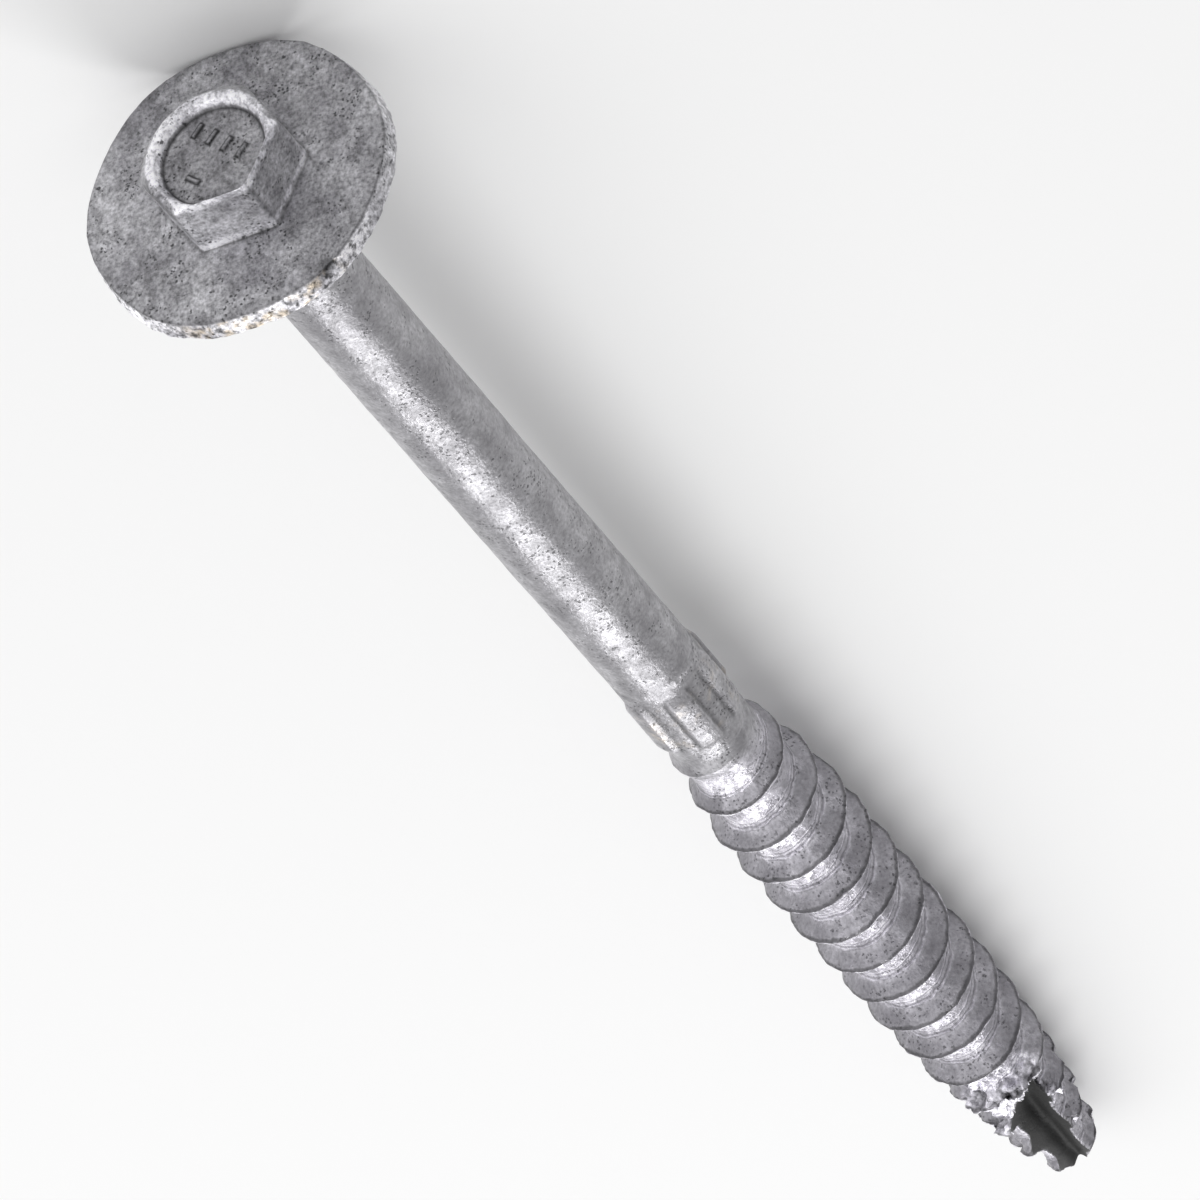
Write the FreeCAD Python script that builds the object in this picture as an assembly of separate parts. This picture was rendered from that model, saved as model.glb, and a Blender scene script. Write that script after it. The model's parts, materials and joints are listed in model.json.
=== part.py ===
# Structural timber screw with a forged hex washer head, hot-dip galvanised.
# One solid. It is drawn along its own axis: x = 0 is the bearing face under
# the washer, +x runs to the point, and angles turn from +Y towards +Z.
# At the end it is laid down on a flat of the washer and a crest of the thread.

import math
import os

import FreeCAD
import Part
from FreeCAD import Vector

# Overall sizes, in millimetres
LENGTH = 152.4              # from the bearing face to the point, 6 in
SHANK_DIA = 6.95
UNDERHEAD_FILLET = 0.8

# Washer, forged in one with the head
WASHER_DIA = 23.1           # at the bearing face
WASHER_DRAFT = 9.0          # degrees that the edge leans in towards the head
WASHER_THICK = 1.68
WASHER_LOBE = 0.10          # the forging leaves six short flats on the outline
WASHER_EDGE_ROUND = 0.35

# Hex drive
HEX_AF = 9.8
HEX_HEIGHT = 5.15           # from the washer to the flat top
HEX_CORNER_ROUND = 0.35
HEX_FOOT_FILLET = 0.30

# Top of the head, from a punch that met the hex off its middle
CHAMFER_ANGLE = 50.0        # degrees from the flat top
CHAMFER_DIA = 9.5           # where the chamfer meets the flat top
CHAMFER_SHIFT = 0.8         # the chamfer's centre lies this far off the axis
CHAMFER_TURN = 60.0         # in this direction, degrees
DISH_MOUTH = 7.6
DISH_FLOOR = 6.7
DISH_DEPTH = 0.8
DISH_SHIFT = 0.55
DISH_TURN = 45.0

# Raised bars on the dish floor, a plain forging mark
MARK_COUNT = 4
MARK_ROW_TURN = 42.8        # direction of the row, degrees
MARK_PITCH = 1.4
MARK_START = -1.5           # place of the first bar along the row
MARK_ASIDE = -0.9           # how far the row lies beside the axis
MARK_LONE_ALONG = 0.65      # the bar that stands alone
MARK_LONE_ASIDE = 2.45
MARK_LONG = 1.2
MARK_WIDE = 0.38
MARK_HIGH = 0.18

# Reaming ribs between the plain shank and the thread
RIB_COUNT = 6
RIB_DIA = 7.65
RIB_START = 69.2
RIB_RAMP = 1.6
RIB_END = 76.9
RIB_ANGLE = 30.4            # width of one rib, degrees
RIB_FIRST = 13.3            # direction of one rib's middle, degrees

# Thread, right hand
THREAD_DIA = 10.0
ROOT_DIA = 6.7
PITCH = 4.97
FLANK_ANGLE = 30.0          # degrees from the radial direction
CREST_ROUND = 0.22
ROOT_ROUND = 0.30
THREAD_START = 77.6
THREAD_FULL = 90.0          # where the run-in reaches full height
RUN_IN_POWER = 0.7
CREST_TURN = 181.0          # degrees: direction in which a crest crosses THREAD_FULL

# Point
TAPER_LENGTH = 33.0         # the thread and its core draw in over this length
TAPER_POWER = 1.5
TAPER_BLUNT = 0.31
POINT_SKIP = 0.45           # the curve is cut off this far before its apex

# Saw teeth in the last turns of the thread
TOOTH_LENGTH = 19.0         # how far they reach back from the point
TEETH_PER_TURN = 7
TOOTH_DEPTH = 0.85
TOOTH_WIDE = 1.25
TOOTH_STOP = 3.5            # none nearer the point than this

# Chip flute, milled by an angle cutter into the point
FLUTE_LENGTH = 18.6         # how far it reaches back from the point
FLUTE_WHEEL_DIA = 44.0      # over the rim of the cutter
FLUTE_CORE = 0.2            # from the axis to the deepest place of the cut
FLUTE_TURN = 40.0           # direction of the cutter's plane, degrees
FLUTE_LEAN = 17.0           # degrees from that plane to the steep wall
FLUTE_OPENING = 60.0        # degrees between its two walls
FLUTE_BOTTOM_ROUND = 0.5

# Fineness of the drawn thread
TURN_STEP = 20.0            # degrees of turn between two sections
SECTION_HALF = 7            # points on each side of the crest in a section

AXIS = Vector(1, 0, 0)
ORIGIN = Vector(0, 0, 0)


def polar(x, radius, degrees):
    """Point at a distance from the screw's axis, in a direction around it."""
    turn = math.radians(degrees)
    return Vector(x, radius * math.cos(turn), radius * math.sin(turn))


def turned(profile, degrees=360.0):
    """Solid swept by a closed (x, radius) profile about the screw's axis."""
    points = [Vector(x, radius, 0) for x, radius in profile]
    wire = Part.makePolygon(points + points[:1])
    return Part.Face(wire).revolve(ORIGIN, AXIS, degrees)


# Head

def washer_outline(x, radius):
    """Six arcs joined by six short flats, which lie beside the hex's flats."""
    near, far = radius - WASHER_LOBE, radius + WASHER_LOBE
    stretch = 1.0 / math.cos(math.radians(30.0))
    bend = (near * stretch - far) / (stretch - 1.0)
    half = (near - bend) * math.tan(math.radians(30.0))
    aside = math.degrees(math.atan(half / near))
    reach = math.hypot(near, half)
    edges = []
    for i in range(6):
        flat = 60.0 * i + 30.0
        start, end = polar(x, reach, flat - aside), polar(x, reach, flat + aside)
        edges.append(Part.makeLine(start, end))
        edges.append(Part.Arc(end, polar(x, far, flat + 30.0),
                              polar(x, reach, flat + 60.0 - aside)).toShape())
    return Part.Wire(edges)


def washer():
    lean = WASHER_THICK * math.tan(math.radians(WASHER_DRAFT))
    under = washer_outline(0.0, WASHER_DIA / 2)
    top = washer_outline(-WASHER_THICK, WASHER_DIA / 2 - lean)
    disc = Part.makeLoft([under, top], True, True)
    rims = [edge for edge in disc.Edges if edge.BoundBox.XLength < 1e-4]
    return disc.makeFillet(WASHER_EDGE_ROUND, rims)


def hex_drive():
    corner = HEX_AF / math.sqrt(3)
    top = -WASHER_THICK - HEX_HEIGHT
    corners = [polar(0.0, corner, 60.0 * i) for i in range(7)]
    prism = Part.Face(Part.makePolygon(corners)).extrude(Vector(top, 0, 0))
    upright = [edge for edge in prism.Edges
               if abs(edge.Length - abs(top)) < 1e-6]
    prism = prism.makeFillet(HEX_CORNER_ROUND, upright)
    slope = math.tan(math.radians(CHAMFER_ANGLE))
    wide = corner + 2 * CHAMFER_SHIFT
    cone = turned([(top, 0.0), (top, CHAMFER_DIA / 2),
                   (top + slope * (wide - CHAMFER_DIA / 2), wide),
                   (0.0, wide), (0.0, 0.0)])
    cone.translate(polar(0.0, CHAMFER_SHIFT, CHAMFER_TURN))
    floor = top + DISH_DEPTH
    dish = turned([(top - 1.0, 0.0), (top - 1.0, DISH_MOUTH / 2),
                   (top, DISH_MOUTH / 2), (floor, DISH_FLOOR / 2), (floor, 0.0)])
    dish.translate(polar(0.0, DISH_SHIFT, DISH_TURN))
    return prism.common(cone).cut(dish)


def forging_marks():
    """Short raised bars in a row across the dish floor, and one bar alone."""
    floor = -WASHER_THICK - HEX_HEIGHT + DISH_DEPTH
    places = [(MARK_START + MARK_PITCH * i, MARK_ASIDE, MARK_WIDE, MARK_LONG)
              for i in range(MARK_COUNT)]
    places.append((MARK_LONE_ALONG, MARK_LONE_ASIDE, MARK_LONG, MARK_WIDE))
    bars = []
    for along, aside, wide, deep in places:
        bar = Part.makeBox(2 * MARK_HIGH, wide, deep,
                           Vector(floor - MARK_HIGH, along - wide / 2, aside - deep / 2))
        bar.rotate(ORIGIN, AXIS, MARK_ROW_TURN)
        bars.append(bar)
    return bars


def head():
    joined = washer().fuse([hex_drive()] + forging_marks()).removeSplitter()
    foot = [edge for edge in joined.Edges
            if abs(edge.BoundBox.XMin + WASHER_THICK) < 1e-4
            and abs(edge.BoundBox.XMax + WASHER_THICK) < 1e-4
            and edge.BoundBox.YMax < HEX_AF * 0.7
            and edge.BoundBox.YMin > -HEX_AF * 0.7]
    return joined.makeFillet(HEX_FOOT_FILLET, foot)


# Shank and ribs

def shank():
    radius = SHANK_DIA / 2
    fillet = UNDERHEAD_FILLET
    inside = -WASHER_THICK / 2
    bend = fillet * (1 - math.sqrt(0.5))
    edges = [
        Part.makeLine(Vector(inside, 0, 0), Vector(inside, radius + fillet, 0)),
        Part.makeLine(Vector(inside, radius + fillet, 0), Vector(0, radius + fillet, 0)),
        Part.Arc(Vector(0, radius + fillet, 0), Vector(bend, radius + bend, 0),
                 Vector(fillet, radius, 0)).toShape(),
        Part.makeLine(Vector(fillet, radius, 0), Vector(RIB_END, radius, 0)),
        Part.makeLine(Vector(RIB_END, radius, 0), Vector(THREAD_START, ROOT_DIA / 2 - 0.1, 0)),
        Part.makeLine(Vector(THREAD_START, ROOT_DIA / 2 - 0.1, 0), Vector(THREAD_START, 0, 0)),
        Part.makeLine(Vector(THREAD_START, 0, 0), Vector(inside, 0, 0)),
    ]
    return Part.Face(Part.Wire(edges)).revolve(ORIGIN, AXIS, 360.0)


def ribs():
    """Straight ribs with ramped ends that open the hole ahead of the shank."""
    inner = SHANK_DIA / 2 - 0.4
    radius = SHANK_DIA / 2
    profile = [(RIB_START, inner), (RIB_START, radius - 0.02),
               (RIB_START + RIB_RAMP, RIB_DIA / 2),
               (RIB_END - RIB_RAMP / 2, RIB_DIA / 2),
               (RIB_END, radius - 0.02), (RIB_END, inner)]
    rib = turned(profile, RIB_ANGLE)
    row = []
    for i in range(RIB_COUNT):
        copy = rib.copy()
        copy.rotate(ORIGIN, AXIS, RIB_FIRST - RIB_ANGLE / 2 + 360.0 * i / RIB_COUNT)
        row.append(copy)
    return row


# Thread and point

def run_in(x):
    """Height of the thread, from nothing where it starts to full."""
    reach = (x - THREAD_START) / (THREAD_FULL - THREAD_START)
    return min(1.0, max(0.0, reach)) ** RUN_IN_POWER


def drawn_in(x):
    """Factor by which thread and core shrink towards the point."""
    start = LENGTH - TAPER_LENGTH
    reach = max(0.0, (x - start) / (TAPER_LENGTH + POINT_SKIP))
    return (1.0 - reach ** TAPER_POWER) ** TAPER_BLUNT


def ridge(offset):
    """Height of the full thread at an axial distance from its crest."""
    full = (THREAD_DIA - ROOT_DIA) / 2
    slope = 1.0 / math.tan(math.radians(FLANK_ANGLE))
    straight = full - slope * (math.hypot(offset, CREST_ROUND) - CREST_ROUND)
    return (straight + math.hypot(straight, ROOT_ROUND)) / 2


def crest_turn(x):
    """Direction of the thread's crest at x, in degrees."""
    return CREST_TURN + 360.0 * (x - THREAD_FULL) / PITCH


def crest_radius(x):
    return drawn_in(x) * (ROOT_DIA / 2 + run_in(x) * ridge(0.0))


def section_offsets():
    """Axial distances from the crest, closest together near it."""
    half = SECTION_HALF
    offsets = [math.copysign(abs(j / half) ** 1.15, j) * PITCH / 2
               for j in range(-half, half + 1)]
    return offsets[1:]


def threaded_rod():
    """A lobed section carried along the axis, turning once in each pitch."""
    begin = RIB_END - RIB_RAMP
    rows = int(math.ceil((LENGTH - begin) / PITCH * 360.0 / TURN_STEP))
    offsets = section_offsets()
    count = len(offsets)
    points = []
    for i in range(rows + 1):
        x = begin + (LENGTH - begin) * i / rows
        for offset in offsets:
            height = run_in(x) * ridge(offset)
            radius = drawn_in(x) * (ROOT_DIA / 2 + height)
            points.append(polar(x, radius, crest_turn(x) + 360.0 * offset / PITCH))
    facets = []
    for i in range(rows):
        for j in range(count):
            near, beside = i * count + j, i * count + (j + 1) % count
            facets.append((near, beside + count, beside))
            facets.append((near, near + count, beside + count))
    first, last = len(points), len(points) + 1
    points += [Vector(begin, 0, 0), Vector(LENGTH, 0, 0)]
    for j in range(count):
        beside = (j + 1) % count
        facets.append((first, j, beside))
        facets.append((last, rows * count + beside, rows * count + j))
    skin = Part.Shape()
    skin.makeShapeFromMesh((points, facets), 0.001, False)
    rod = Part.Solid(Part.makeShell(skin.Faces))
    if rod.Volume < 0:
        rod.reverse()
    return rod


def saw_notches():
    """Notches across the crest, each with a steep side and a long one."""
    cutters = []
    first = LENGTH - TOOTH_LENGTH
    count = int((TOOTH_LENGTH - TOOTH_STOP) / PITCH * TEETH_PER_TURN)
    for i in range(count):
        x = first + PITCH * i / TEETH_PER_TURN
        crest = crest_radius(x)
        depth = TOOTH_DEPTH * drawn_in(x)
        points = [Vector(x, crest - depth, 0), Vector(x, crest + 0.5, 0),
                  Vector(x, crest + 0.5, TOOTH_WIDE), Vector(x, crest - depth, 0)]
        wedge = Part.Face(Part.makePolygon(points)).extrude(Vector(PITCH / 2, 0, 0))
        wedge.translate(Vector(-PITCH / 4, 0, 0))
        wedge.rotate(ORIGIN, AXIS, crest_turn(x))
        cutters.append(wedge)
    return cutters


def flute_cutter():
    """Rim of an angle cutter sunk into the point until it nearly meets the axis."""
    wheel = FLUTE_WHEEL_DIA / 2
    sunk = crest_radius(LENGTH - FLUTE_LENGTH) - FLUTE_CORE
    deepest = LENGTH - FLUTE_LENGTH + math.sqrt(wheel ** 2 - (wheel - sunk) ** 2)
    wall = THREAD_DIA
    steep = math.radians(FLUTE_LEAN)
    other = math.radians(FLUTE_LEAN + FLUTE_OPENING)
    profile = [(wheel, 0.0), (wheel - wall, wall * math.tan(steep)),
               (wheel - wall, wall * math.sin(other)),
               (wheel - wall * math.cos(other), wall * math.sin(other))]
    hub = Vector(deepest, FLUTE_CORE + wheel, 0)
    points = [hub - Vector(0, reach, -side) for reach, side in profile]
    face = Part.Face(Part.makePolygon(points + points[:1]))
    cutter = face.revolve(hub, Vector(0, 0, 1), 360.0)
    lip = [edge for edge in cutter.Edges
           if abs(edge.Length - 2 * math.pi * wheel) < 1e-3]
    cutter = cutter.makeFillet(FLUTE_BOTTOM_ROUND, lip)
    cutter.rotate(ORIGIN, AXIS, FLUTE_TURN)
    return cutter


# Assembly and rest

def resting_tilt():
    """Angle at which a flat of the washer and one thread crest touch the floor."""
    draft = math.radians(WASHER_DRAFT)
    bend = WASHER_EDGE_ROUND
    reach = (WASHER_DIA / 2 - WASHER_LOBE
             - bend * (math.tan(draft) + 1.0 / math.cos(draft)))
    lowest = THREAD_FULL + PITCH * (270.0 - CREST_TURN) / 360.0
    tilts = []
    for i in range(int((LENGTH - lowest) / PITCH) + 1):
        along = lowest + PITCH * i + bend
        drop = reach - crest_radius(lowest + PITCH * i)
        tilts.append(math.acos(-bend / math.hypot(along, drop))
                     - math.atan2(along, drop))
    return math.degrees(min(tilts))


def screw():
    rod = threaded_rod().cut(saw_notches()).cut(flute_cutter())
    solid = head().fuse([shank()] + ribs() + [rod]).removeSplitter()
    solid = solid.Solids[0]
    solid.rotate(ORIGIN, Vector(0, 1, 0), resting_tilt())
    box = solid.optimalBoundingBox(False, False)
    solid.translate(Vector(-box.Center.x, -box.Center.y, -box.ZMin))
    return solid


os.makedirs("parts", exist_ok=True)
screw().exportStep("parts/screw.step")
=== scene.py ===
import json
import math

import bpy
import numpy as np
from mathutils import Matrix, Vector, noise


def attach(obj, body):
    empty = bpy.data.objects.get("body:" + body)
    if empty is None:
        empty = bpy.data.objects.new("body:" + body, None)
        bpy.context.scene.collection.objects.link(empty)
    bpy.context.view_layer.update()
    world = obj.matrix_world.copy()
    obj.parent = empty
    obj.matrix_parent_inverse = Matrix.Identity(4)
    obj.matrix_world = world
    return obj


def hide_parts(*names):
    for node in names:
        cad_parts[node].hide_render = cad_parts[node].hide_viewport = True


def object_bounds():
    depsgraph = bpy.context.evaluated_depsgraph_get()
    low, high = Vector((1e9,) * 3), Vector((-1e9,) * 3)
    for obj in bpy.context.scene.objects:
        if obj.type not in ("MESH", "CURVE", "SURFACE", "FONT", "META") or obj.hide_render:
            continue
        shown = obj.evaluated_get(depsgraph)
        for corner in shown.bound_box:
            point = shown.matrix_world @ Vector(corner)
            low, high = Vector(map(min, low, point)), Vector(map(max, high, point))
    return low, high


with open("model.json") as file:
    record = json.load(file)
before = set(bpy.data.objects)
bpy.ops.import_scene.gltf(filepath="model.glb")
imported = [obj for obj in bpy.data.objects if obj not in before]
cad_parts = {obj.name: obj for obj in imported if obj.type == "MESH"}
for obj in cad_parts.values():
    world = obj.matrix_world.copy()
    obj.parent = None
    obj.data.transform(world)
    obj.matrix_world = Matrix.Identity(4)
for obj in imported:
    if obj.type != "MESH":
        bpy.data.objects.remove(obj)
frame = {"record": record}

bl_info = {
    "name": "Structural screw",
    "version": (1, 0, 0),
    "blender": (4, 5, 0),
    "location": "View3D > Sidebar > Screw",
    "description": "Builds a hot-dip galvanised structural screw, its zinc finish and its stage",
    "category": "Add Mesh",
}

CAD_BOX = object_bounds()
MOUNTS = {mount["name"]: mount for mount in frame["record"]["mounts"]}
MM = 0.001

# Sizes that stay with the forging, in millimetres. Distances along the screw
# start at the bearing face under the washer and grow towards the point.
WASHER_DRAFT = math.radians(9.0)
WASHER_LOBE = 0.10
UNDERHEAD_FILLET = 0.8
HEX_SHARPNESS = 40

# Top of the head. Chamfer and dish were punched off the middle of the hex, so
# each has its own centre: how far off the axis it lies, and in which direction.
# A wall stays between the dish's mouth or floor and the flats of the hex.
CHAMFER_SLOPE = math.tan(math.radians(50.0))
CHAMFER = 4.75
CHAMFER_CENTRE = (0.8, math.radians(60.0))
DISH_MOUTH = 4.25
DISH_FLOOR = 3.85
DISH_CENTRE = (1.05, math.radians(60.0))
MOUTH_WALL = 0.07
FLOOR_WALL = 0.18

# Raised bars of the forging mark: four upright ones in a row, and a lone one
# that lies along it, each placed along the row and beside it
BARS_TURN = math.radians(42.8)
BARS_START = -1.5
BARS_PITCH = 1.4
BARS_ASIDE = -0.9
BARS_COUNT = 4
LONE_BAR = (0.65, 2.45)
BAR_LONG = 1.2
BAR_WIDE = 0.38
BAR_EASE = 0.30
BAR_HEIGHT = 0.20

# Ribs between the plain shank and the thread
RIB_COUNT = 6
RIB_START = 68.4
RIB_RAMP = 1.6
RIB_END = 76.1
RIB_ANGLE = math.radians(30.4)
RIB_FIRST = math.radians(9.5)
RIB_EDGE = 0.05

# Thread and point
FLANK_SLOPE = 1.0 / math.tan(math.radians(30.0))
CREST_ROUND = 0.22
ROOT_ROUND = 0.60
THREAD_START = 77.6
THREAD_FULL = 90.0
RUN_IN_POWER = 0.7
CREST_TURN = math.radians(181.0)
TAPER_LENGTH = 33.0
TAPER_POWER = 1.7
TAPER_BLUNT = 0.31
POINT_SKIP = 0.45
TOOTH_LENGTH = 17.1
TEETH_PER_TURN = 7
TOOTH_DEPTH = 0.85
TOOTH_SHARE = 0.42
TOOTH_STOP = 3.5
FLUTE_LENGTH = 16.7
FLUTE_WHEEL = 8.0
FLUTE_CORE = 0.15
FLUTE_TURN = math.radians(40.0)
FLUTE_STEEP = math.tan(math.radians(5.0))
FLUTE_SLOPING = math.tan(math.radians(77.0))

# Marks of use and of the zinc bath, and places of painted light and shade: directions around the
# screw, and places and sizes in millimetres. The camera sees the two faces of the hex beside
# HEX_SEEN.
HEX_SEEN = math.radians(60.0)
HEX_SHADED_CORNER = math.radians(58.0)
HEX_FRONT = math.radians(90.0)
CHIP_TURN = math.radians(57.5)
CHIP_ALONG = -1.40
CHIP_WIDE = 0.75
CHIP_HIGH = 0.32
CHIP_DEPTH = 0.25
EDGE_RADIUS = 10.8
EDGE_TOP = -1.62
CRUST_LIT_TURN = math.radians(20.0)
STAIN_TURN = math.radians(84.0)
STAIN_WIDE = math.radians(40.0)
# Side of the thread whose root is painted with a highlight
ROOT_LIGHT_TURN = math.radians(95.0)
ROOT_LIGHT_WIDE = math.radians(60.0)
TORN_TURN = math.radians(84.0)
TORN_WIDE = math.radians(64.0)
TORN_BEFORE = 3.6
TORN_BEYOND = 7.5

# Sizes of the lumps in the zinc, and where each kind's noise is taken from
BROAD_LUMPS = 5.0
MIDDLE_LUMPS = 1.6
MIDDLE_FROM = 31.0
FINE_LUMPS = 0.55
FINE_FROM = 57.0

# Painted light and shade across the thread, by shares of the pitch: the root is at 0 and 1, the
# crest at 0.5, and the flank between 0 and 0.5 looks at the head. The flank gets painted shade,
# the crest a painted dark line and a painted highlight, and the root a painted highlight
BAND_SHADING = [(0.0, 1.05), (0.13, 1.05), (0.155, 1.7), (0.18, 1.05), (0.225, 1.05),
              (0.245, 0.7), (0.27, 1.35), (0.295, 0.85), (0.34, 0.72), (0.44, 0.70),
              (0.465, 0.28), (0.490, 0.28), (0.515, 1.8), (0.55, 1.3), (0.60, 1.05)]
ROOT_HIGHLIGHTS = [(0.0, 2.1), (0.21, 2.1), (0.30, 1.0), (0.50, 1.0), (0.53, 2.1)]
BAND_TINT = (1.27, 1.255, 1.30)
# How much the bands wander: the fineness of the noise, and its reach in pitches
BAND_WANDER = ((300.0, 0.10), (1300.0, 0.05))

# Stage, in metres. Each lamp has a name, a place, a size along and across, and watts
FLOOR_HALF = 1.5
ROOM_LIGHT = 0.36
LAMPS = (("soft_box", (-0.26, -0.42, 0.96), (2.0, 2.0), 13.4),
         ("strip", (0.807, -0.07, 0.586), (0.6, 0.22), 4.3))

# Fineness of the mesh: points in a ring, the first ring's radius, where the
# body's rings take over from the head's, and millimetres from ring to ring
HEAD_COLUMNS = 224
SHANK_COLUMNS = 112
FIRST_RING = 0.02
BODY_START = 2.0
PROFILE_STEP = 0.035
SHANK_STEP = 0.70
RIB_STEP = 0.22
THREAD_STEP = 0.195
# Steps of the head's profile over which its corners are rounded
CORNER_SOFT = 4.0
CORNER_REACH = 14
# Steps of the head's profile from ring to ring, near a bend and far from it
NEAR_SPACING = 2.4
FAR_SPACING = 11.0
SPACING_GROWTH = 0.24
BEND_REACH = 6
# Points tried around a fluted section, points down a wall, and rounding passes
SECTION_POINTS = 1441
WALL_POINTS = 40
ROUNDING_PASSES = 120


class ScrewSizes(bpy.types.PropertyGroup):
    length: bpy.props.FloatProperty(
        name="Length", description="From the bearing face under the washer to the point",
        default=0.1505, unit="LENGTH")
    shank: bpy.props.FloatProperty(
        name="Shank", description="Diameter of the plain shank", default=0.00695, unit="LENGTH")
    washer: bpy.props.FloatProperty(
        name="Washer", description="Diameter of the washer at its bearing face",
        default=0.0231, unit="LENGTH")
    washer_thick: bpy.props.FloatProperty(
        name="Washer thickness", description="Thickness of the washer",
        default=0.00168, unit="LENGTH")
    flats: bpy.props.FloatProperty(
        name="Across flats", description="Width of the hex across its flats",
        default=0.0098, unit="LENGTH")
    hex_height: bpy.props.FloatProperty(
        name="Hex height", description="Height of the hex above the washer",
        default=0.00515, unit="LENGTH")
    dish_depth: bpy.props.FloatProperty(
        name="Dish depth", description="Depth of the hollow in the top of the head",
        default=0.0008, unit="LENGTH")
    thread: bpy.props.FloatProperty(
        name="Thread", description="Diameter over the crests of the thread",
        default=0.0100, unit="LENGTH")
    root: bpy.props.FloatProperty(
        name="Root", description="Diameter at the root of the thread",
        default=0.0067, unit="LENGTH")
    rib: bpy.props.FloatProperty(
        name="Ribs", description="Diameter over the ribs above the thread",
        default=0.00765, unit="LENGTH")
    pitch: bpy.props.FloatProperty(
        name="Pitch", description="Distance from one crest to the next",
        default=0.00497, unit="LENGTH")


class ZincFinish(bpy.types.PropertyGroup):
    light: bpy.props.FloatVectorProperty(
        name="Light zinc", description="Colour of the bright patches of the zinc",
        subtype="COLOR", size=3, min=0, max=1, default=(0.52, 0.515, 0.54))
    dark: bpy.props.FloatVectorProperty(
        name="Dark zinc", description="Colour of the dull patches of the zinc",
        subtype="COLOR", size=3, min=0, max=1, default=(0.27, 0.265, 0.285))
    plain: bpy.props.FloatVectorProperty(
        name="Plain zinc", description="Even colour of the calmer zinc on shank and thread",
        subtype="COLOR", size=3, min=0, max=1, default=(0.335, 0.328, 0.345))
    speck: bpy.props.FloatVectorProperty(
        name="Specks", description="Colour of the pits and specks",
        subtype="COLOR", size=3, min=0, max=1, default=(0.08, 0.08, 0.085))
    stain: bpy.props.FloatVectorProperty(
        name="Stain", description="Colour of the ochre stain on the washer's edge",
        subtype="COLOR", size=3, min=0, max=1, default=(0.27, 0.22, 0.155))
    steel: bpy.props.FloatVectorProperty(
        name="Flute", description="Colour of the smooth walls of the flute",
        subtype="COLOR", size=3, min=0, max=1, default=(0.125, 0.125, 0.125))
    lumps: bpy.props.FloatProperty(
        name="Lumps", description="How far the coat's lumps stand out",
        default=0.00004, unit="LENGTH")
    crust: bpy.props.FloatProperty(
        name="Crust", description="How far the crust on the washer's edge stands out",
        default=0.00008, unit="LENGTH")


class StageSettings(bpy.types.PropertyGroup):
    lens: bpy.props.FloatProperty(
        name="Lens", description="Focal length on a 36 mm sensor", default=332.05)
    camera_place: bpy.props.FloatVectorProperty(
        name="Camera", description="Where the camera stands", subtype="TRANSLATION",
        default=(-0.615563, 0.234999, 0.491154))
    camera_turn: bpy.props.FloatVectorProperty(
        name="Camera turn", description="How the camera is turned", subtype="EULER",
        default=(math.radians(-53.0769), math.radians(-4.6485), math.radians(65.1880)))
    floor: bpy.props.FloatVectorProperty(
        name="Floor", description="Colour of the floor", subtype="COLOR", size=3,
        min=0, max=1, default=(0.86, 0.86, 0.86))


# Shape of the screw, as distances in millimetres and turns in radians

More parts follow.
